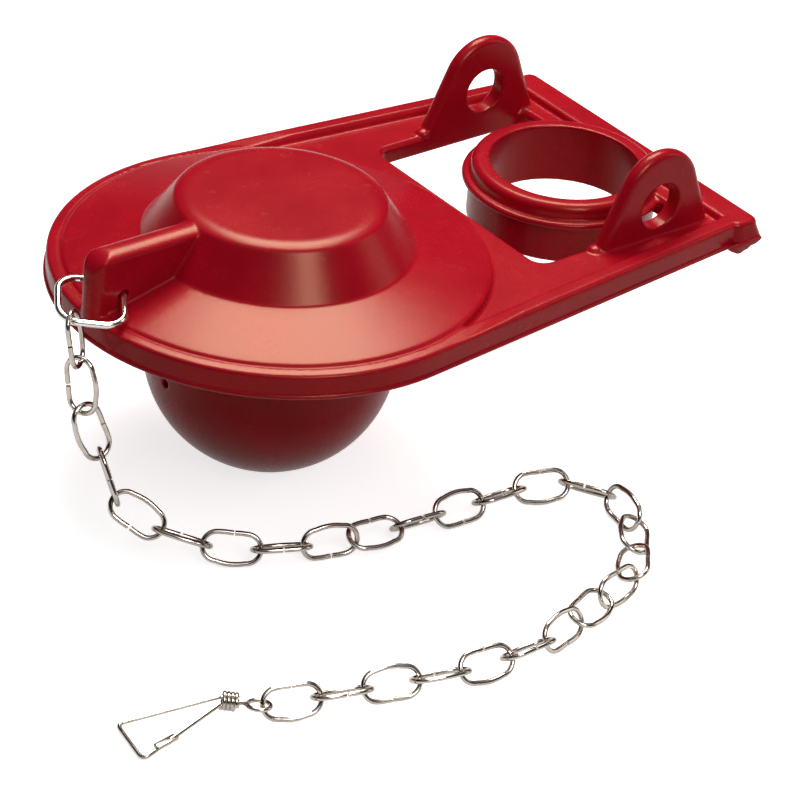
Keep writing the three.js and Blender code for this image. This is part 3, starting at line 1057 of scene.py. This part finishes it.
    def skinned(self, base: bpy.types.Object, helpers: list[bpy.types.Object]) -> bpy.types.Object:
        """Gives the joined shape one even skin with softened edges, as moulded rubber has.

        Args:
            base: the object that holds the steps.
            helpers: the objects that the steps use, which are removed.

        Returns:
            The finished piece.
        """
        skin = base.modifiers.new("skin", "REMESH")
        skin.mode = "VOXEL"
        skin.voxel_size = self.skin_step
        soften = base.modifiers.new("soften", "SMOOTH")
        soften.factor = self.skin_softening
        soften.iterations = self.skin_softening_rounds
        dense = settled(base)
        dense.calc_loop_triangles()
        triangles = len(dense.loop_triangles)
        for helper in [*helpers, base]:
            discard(helper)
        body = linked("flapper_body_skin", dense)
        thin = body.modifiers.new("thin", "DECIMATE")
        thin.ratio = min(1.0, self.triangle_limit / triangles)
        mesh = settled(body)
        discard(body)
        shape = taken(mesh)
        LOG.info("body skin: %d triangles, thinned to %d faces", triangles, len(shape.faces))
        piece = finished("rubber_body", gathered([shape, self.lip(), self.flash()]), self.skin_crease)
        piece.data.materials.append(self.finish.make())
        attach(piece, "root")
        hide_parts("flapper_body")
        return piece


@dataclass
class LargeLink:
    """The large wire link through the tab."""

    finish: WireFinish
    radius: float = 0.68
    half_length: float = 5.85
    half_width: float = 5.65
    corner: float = 3.65
    butt_gap: float = 0.4
    centre: Vector = field(default_factory=lambda: Vector((-42.0, -1.6, 8.15)))
    heading: float = -31.0
    fall: float = 6.4
    lean: float = 12.6
    hole_clearance: float = 0.35

    def place(self) -> Matrix:
        """Where the link lies.

        Returns:
            The link's placement in millimetres.
        """
        angles = [math.radians(angle) for angle in (self.lean, self.fall, self.heading)]
        turn = Euler(angles, "XYZ").to_matrix().to_4x4()
        return Matrix.Translation(self.centre) @ turn @ Matrix.Rotation(math.pi, 4, "Z")

    def path(self, gap: float) -> list[Vector]:
        """Middle line of the wire.

        Args:
            gap: how far the ends stand apart in the lower side.

        Returns:
            The line's points, in the link's own plane.
        """
        x = self.half_length - self.corner
        y = self.half_width - self.corner
        flat: list[Point2] = [(gap / 2, -self.half_width)]
        for i, centre in enumerate(((x, -y), (x, y), (-x, y), (-x, -y))):
            flat += arc(centre, self.corner, 90.0 * (i - 1), 90.0 * i, steps=12)
        flat += [(-gap / 2, -self.half_width)]
        return [Vector((*point, 0.0)) for point in flat]

    def hole(self) -> bmesh.types.BMesh:
        """The shape that the wire cuts out of the tab."""
        return moved(wire(self.path(0.0)[1:-1], self.radius + self.hole_clearance, closed=True), self.place())

    def build(self) -> bpy.types.Object:
        """Builds the link.

        Returns:
            The finished piece.
        """
        shape = moved(wire(self.path(self.butt_gap), self.radius, sides=5), self.place())
        piece = finished("large_link", shape)
        piece.data.materials.append(self.finish.make())
        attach(piece, "root")
        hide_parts("tab_link")
        return piece


@dataclass
class LiftChain:
    """The chain's small links. Each follows its solid: where it lies, how it is turned and its open side."""

    finish: WireFinish
    count: int = 27
    seed: int = 27
    radius: float = 0.475
    length: float = 11.6
    width: float = 6.3
    bow: float = 0.35
    bow_steps: int = 8
    butt_gap: float = 0.35
    gap_spread: Point2 = (0.6, 1.5)
    gap_shift: float = 0.25
    end_spring: float = 0.05
    end_reach: float = 0.6
    open_zone: float = 0.35

    def path(self, draw: random.Random) -> list[Vector]:
        """Middle line of one link, whose lower side is open and whose upper side bows outwards.

        Args:
            draw: where the link's own gap and its place come from.

        Returns:
            The line's points, in the link's own plane.
        """
        bend = self.width / 2 - self.radius
        straight = self.length / 2 - self.radius - bend
        gap = self.butt_gap * draw.uniform(*self.gap_spread)
        shift = draw.uniform(-self.gap_shift, self.gap_shift)
        reach = straight * self.end_reach
        flat: list[Point2] = [(shift + gap / 2, -bend), (reach, -bend - self.end_spring)]
        flat += arc((straight, 0.0), bend, -90.0, 90.0, steps=16)
        for i in range(1, self.bow_steps):
            along = 1 - 2 * i / self.bow_steps
            flat.append((straight * along, bend + self.bow * (1 - along * along)))
        flat += arc((-straight, 0.0), bend, 90.0, 270.0, steps=16)
        flat += [(-reach, -bend - self.end_spring), (shift - gap / 2, -bend)]
        return [Vector((*point, 0.0)) for point in flat]

    def place(self, solid: bpy.types.Object) -> Matrix:
        """Where a link's solid lies, read from the solid's own points.

        Args:
            solid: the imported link.

        Returns:
            The link's placement in millimetres.
        """
        points = [vert.co / MM for vert in solid.data.vertices]
        middle = sum(points, Vector()) / len(points)
        arms = [point - middle for point in points]
        along = self.main_direction(arms)
        across = self.main_direction([arm - along * arm.dot(along) for arm in arms])
        facing = along.cross(across).normalized()
        across = facing.cross(along)
        reach = [(point - middle).dot(along) for point in points]
        middle += along * (max(reach) + min(reach)) / 2
        near = [point - middle for point in points if abs((point - middle).dot(along)) < self.open_zone]
        if sum(1 for arm in near if arm.dot(across) > 0) > len(near) / 2:
            across, facing = -across, -facing
        lowest = min((point - middle).dot(across) for point in points)
        middle += across * (lowest + self.width / 2)
        frame = Matrix((along, across, facing)).transposed().to_4x4()
        return Matrix.Translation(middle) @ frame

    @staticmethod
    def main_direction(arms: list[Vector], rounds: int = 200) -> Vector:
        """The direction in which points spread most.

        Args:
            arms: the points' places round their middle.
            rounds: how often the guess is bettered.

        Returns:
            The direction, as a unit vector.
        """
        rows = [sum((arm * arm[row] for arm in arms), Vector()) for row in range(3)]
        spread = Matrix(rows)
        guess = Vector((0.62, 0.31, 0.72))
        for _ in range(rounds):
            guess = (spread @ guess).normalized()
        return guess

    def build(self, solids: dict[str, bpy.types.Object]) -> list[bpy.types.Object]:
        """Builds every link.

        Args:
            solids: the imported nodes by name.

        Returns:
            The links, from the large link on.
        """
        draw = random.Random(self.seed)
        material = self.finish.make()
        pieces = []
        for number in range(1, self.count + 1):
            node = f"chain_link_{number:02d}"
            shape = moved(wire(self.path(draw), self.radius, sides=4), self.place(solids[node]))
            piece = finished(f"small_link_{number:02d}", shape)
            piece.data.materials.append(material)
            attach(piece, "root")
            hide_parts(node)
            pieces.append(piece)
        return pieces


@dataclass
class HookClip:
    """The clip at the chain's end: an eye, a wound barrel, a long wire loop and a flat latch."""

    finish: WireFinish
    radius: float = 0.4
    eye: Vector = field(default_factory=lambda: Vector((-51.183, -69.167, -33.728)))
    eye_normal: Vector = field(default_factory=lambda: Vector((-0.1353, -0.1401, -0.9808)))
    eye_radius: float = 2.0
    eye_opening: float = 20.0
    eye_steps: int = 36
    heading: float = 136.0
    shank: float = 1.3
    shank_steps: Point2 = (0.5, 1.0)
    barrel_length: float = 3.6
    barrel_radius: float = 1.75
    barrel_turns: float = 4.0
    barrel_steps: int = 96
    core_overlap: float = 0.1
    mouth_half_width: float = 1.2
    table: float = -37.028
    far_corners: tuple[Point2, Point2] = ((-21.3, 11.3), (-23.2, 0.8))
    corner: float = 1.6
    corner_steps: int = 8
    latch: Triple = (4.7, 1.5, 0.7)
    latch_inset: float = 3.1
    latch_round: float = 0.2

    def shank_direction(self) -> Vector:
        """The direction from the eye to the barrel."""
        turn = math.radians(self.heading)
        return Vector((math.cos(turn), math.sin(turn), 0.0))

    def eye_path(self) -> list[Vector]:
        """The eye's wire: round the eye from the shank and back to it.

        Returns:
            The wire's points.
        """
        shank = self.shank_direction()
        side = self.eye_normal.cross(shank).normalized()
        flat = arc((0.0, 0.0), 1.0, self.eye_opening, 360.0 - self.eye_opening, self.eye_steps)
        ring = [self.eye + (shank * x + side * y) * self.eye_radius for x, y in flat]
        reaches = (*self.shank_steps, self.shank + self.radius)
        return ring + [self.eye + shank * (self.eye_radius + reach) for reach in reaches]

    def barrel_path(self) -> list[Vector]:
        """The wound wire of the barrel.

        Returns:
            The wire's points.
        """
        shank = self.shank_direction()
        side = Vector((-shank.y, shank.x, 0.0))
        start = self.eye + shank * (self.eye_radius + self.shank + self.radius)
        reach = self.barrel_radius - self.radius
        length = self.barrel_length - 2 * self.radius
        path = []
        for i in range(self.barrel_steps + 1):
            turn = math.tau * self.barrel_turns * i / self.barrel_steps
            round_it = side * math.cos(turn) + Vector((0, 0, math.sin(turn)))
            path.append(start + shank * (length * i / self.barrel_steps) + round_it * reach)
        return path

    def core(self) -> bmesh.types.BMesh:
        """The straight wires inside the barrel, seen as one dark core between its turns.

        Returns:
            The closed shape.
        """
        shank = self.shank_direction()
        begin = self.eye + shank * (self.eye_radius + self.shank)
        end = begin + shank * (self.barrel_length - self.radius)
        radius = self.barrel_radius - 2 * self.radius + self.core_overlap
        return wire([begin, begin.lerp(end, 0.5), end], radius, sides=4)

    def corners(self) -> list[Vector]:
        """The loop's corners, from the barrel's mouth out and back.

        Returns:
            Four points: the mouth's one side, the two far corners and the mouth's other side.
        """
        shank = self.shank_direction()
        mouth = self.eye + shank * (self.eye_radius + self.shank + self.barrel_length - self.radius)
        aside = Vector((-shank.y, shank.x, 0.0)) * self.mouth_half_width
        lying = self.table + self.radius
        far = [Vector((self.eye.x + x, self.eye.y + y, lying)) for x, y in self.far_corners]
        return [mouth - aside, *far, mouth + aside]

    def loop_path(self) -> list[Vector]:
        """Middle line of the loop, with its two far corners rounded.

        Returns:
            The wire's points.
        """
        start, first, second, end = self.corners()
        path = [start]
        for before, at, after in ((start, first, second), (first, second, end)):
            a = at + (before - at).normalized() * self.corner
            b = at + (after - at).normalized() * self.corner
            for i in range(self.corner_steps + 1):
                t = i / self.corner_steps
                path.append(a * (1 - t) ** 2 + at * (2 * t * (1 - t)) + b * t ** 2)
        return [*path, end]

    def latch_plate(self) -> bmesh.types.BMesh:
        """The flat latch on the returning wire.

        Returns:
            The closed shape.
        """
        _, _, second, end = self.corners()
        flat = end - second
        inset = self.latch_inset + self.latch[0] / 2
        seat = second + flat.normalized() * inset + Vector((0, 0, self.radius / 2))
        shape = bmesh.new()
        bmesh.ops.create_cube(shape, size=1.0)
        bmesh.ops.scale(shape, vec=self.latch, verts=shape.verts)
        turn = Matrix.Rotation(math.atan2(flat.y, flat.x), 4, "Z")
        return moved(bevelled(shape, list(shape.edges), self.latch_round, 3), Matrix.Translation(seat) @ turn)

    def build(self) -> bpy.types.Object:
        """Builds the clip.

        Returns:
            The finished piece.
        """
        shapes = [
            wire(self.eye_path(), self.radius, sides=4),
            wire(self.barrel_path(), self.radius, sides=4),
            self.core(),
            wire(self.loop_path(), self.radius, sides=4),
            self.latch_plate(),
        ]
        piece = finished("hook_clip_wire", gathered(shapes))
        piece.data.materials.append(self.finish.make())
        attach(piece, "root")
        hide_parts("hook_clip")
        return piece


@dataclass(frozen=True)
class Softbox:
    """One large soft lamp that faces the object."""

    name: str
    direction: Triple
    distance: float
    size: Point2
    power: float
    colour: Triple = (1.0, 1.0, 1.0)
    sheen_only: bool = False

    def hang(self, target: Vector) -> None:
        """Hangs the lamp so that it faces the target.

        Args:
            target: the point that the lamp faces.
        """
        lamp = bpy.data.lights.new(self.name, "AREA")
        lamp.shape = "RECTANGLE"
        lamp.size, lamp.size_y = self.size
        lamp.energy = self.power
        lamp.color = self.colour
        holder = linked(self.name, lamp)
        away = Vector(self.direction).normalized()
        holder.visible_diffuse = not self.sheen_only
        holder.location = target + away * self.distance
        holder.rotation_euler = away.to_track_quat("Z", "Y").to_euler()


@dataclass
class Studio:
    """Pale floor, soft lamps, a room that is dark at eye level, and the camera."""

    table: float = -0.03703
    floor_half_size: float = 1.6
    floor_white: float = 0.86
    floor_dim: float = 0.32
    floor_glow: float = 0.76
    floor_roughness: float = 0.9
    floor_specular: float = 0.1
    mirrored_share: float = 0.58
    room_greys: tuple[Point2, ...] = (
        (0.0, 0.35), (0.12, 0.16), (0.26, 0.02), (0.62, 0.02), (0.8, 0.5), (1.0, 0.9),
    )
    room_strength: float = 0.6
    target: Vector = field(default_factory=lambda: Vector((0.01, -0.015, -0.005)))
    softboxes: tuple[Softbox, ...] = (
        Softbox("key_overhead", (0.31, 0.38, 0.87), 0.8, (0.42, 0.42), 5.2, (1.0, 0.95, 0.88)),
        Softbox("key_sheen", (0.31, 0.38, 0.87), 0.79, (0.36, 0.36), 4.4, (1.0, 0.92, 0.75), True),
        Softbox("fill_right", (0.84, -0.42, 0.36), 0.9, (0.3, 0.5), 0.8, (1.0, 0.96, 0.9)),
        Softbox("top_front", (-0.16, -0.7, 0.7), 0.9, (0.5, 0.5), 1.7),
        Softbox("front_sheen", (-0.08, -0.73, 0.68), 0.88, (0.26, 0.3), 3.6, (1.0, 0.9, 0.88), True),
    )
    camera_place: Triple = (-0.40027, -0.50704, 0.37347)
    camera_right: Triple = (0.78940011, -0.60851867, 0.08094751)
    camera_up: Triple = (0.26530979, 0.45709984, 0.84892311)
    camera_back: Triple = (-0.55358665, -0.64866383, 0.52228063)
    camera_range: Point2 = (0.05, 10.0)
    lens: float = 183.47
    sensor: float = 36.0

    def shown(self, bench: Bench) -> Signal:
        """Finds where a ray shows the background.

        Args:
            bench: the bench of the material that asks.

        Returns:
            1 where the background is seen or shows through glass, less where it is mirrored, else 0.
        """
        path = bench.node("ShaderNodeLightPath")
        seen = Signal(bench, path.outputs["Is Camera Ray"])
        mirrored = Signal(bench, path.outputs["Is Glossy Ray"])
        through = Signal(bench, path.outputs["Is Transmission Ray"])
        return seen.at_least(mirrored * self.mirrored_share).at_least(through)

    def lay_floor(self) -> None:
        """Lays the pale floor that the bulb and the chain stand on."""
        shape = bmesh.new()
        bmesh.ops.create_grid(
            shape, x_segments=1, y_segments=1, size=self.floor_half_size,
            matrix=Matrix.Translation((0, 0, self.table)),
        )
        floor = as_object("floor", shape)
        material, bench = new_material("pale_floor")
        shown = self.shown(bench)
        bench.surface({
            "Base Color": bench.blend(shown, rgba(grey(self.floor_dim)), rgba(grey(self.floor_white))),
            "Roughness": self.floor_roughness,
            "Specular IOR Level": self.floor_specular,
            "Emission Color": rgba(grey(1.0)),
            "Emission Strength": shown * self.floor_glow,
        })
        floor.data.materials.append(material)

    def paint_room(self) -> None:
        """Gives the room a soft grey that is lighter overhead and near the floor."""
        world = bpy.data.worlds.new("room")
        world.use_nodes = True
        bpy.context.scene.world = world
        bench = Bench(world.node_tree)
        direction = bench.signal("ShaderNodeTexCoord", output="Generated")
        height = bench.signal("ShaderNodeSeparateXYZ", None, {"Vector": direction}, output="Z")
        stops = [(position, grey(level)) for position, level in self.room_greys]
        room = bench.signal("ShaderNodeValToRGB", {"stops": stops}, {"Fac": height})
        light = bench.signal("ShaderNodeBackground", None, {"Color": room, "Strength": self.room_strength})
        bench.node("ShaderNodeOutputWorld", None, {"Surface": light})

    def set_camera(self) -> None:
        """Sets the camera where the photograph was taken from."""
        data = bpy.data.cameras.new("camera")
        data.lens = self.lens
        data.sensor_width = self.sensor
        data.sensor_fit = "HORIZONTAL"
        data.clip_start, data.clip_end = self.camera_range
        camera = linked("camera", data)
        turn = Matrix((self.camera_right, self.camera_up, self.camera_back)).transposed().to_4x4()
        camera.matrix_world = Matrix.Translation(self.camera_place) @ turn
        bpy.context.scene.camera = camera

    def build(self) -> None:
        """Builds the studio."""
        bpy.context.scene.view_settings.view_transform = "Standard"
        self.lay_floor()
        self.paint_room()
        for softbox in self.softboxes:
            softbox.hang(self.target)
        self.set_camera()


def main() -> None:
    """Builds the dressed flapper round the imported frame."""
    logging.basicConfig(level=logging.INFO, format="%(name)s: %(message)s")
    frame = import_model()
    Studio().build()
    bright = WireFinish("bright_wire", (0.8, 0.79, 0.76), (0.62, 0.6, 0.56), 0.07, tarnish_share=0.3)
    plain = WireFinish("chain_wire", (0.58, 0.53, 0.48), (0.3, 0.26, 0.22), 0.09)
    large = LargeLink(bright)
    pieces = [FlapperBody().build(large.hole()), large.build()]
    pieces += [*LiftChain(plain).build(frame["nodes"]), HookClip(plain).build()]
    for piece in pieces:
        LOG.info("built %s with %d faces", piece.name, len(piece.data.polygons))


if __name__ == "__main__":
    main()
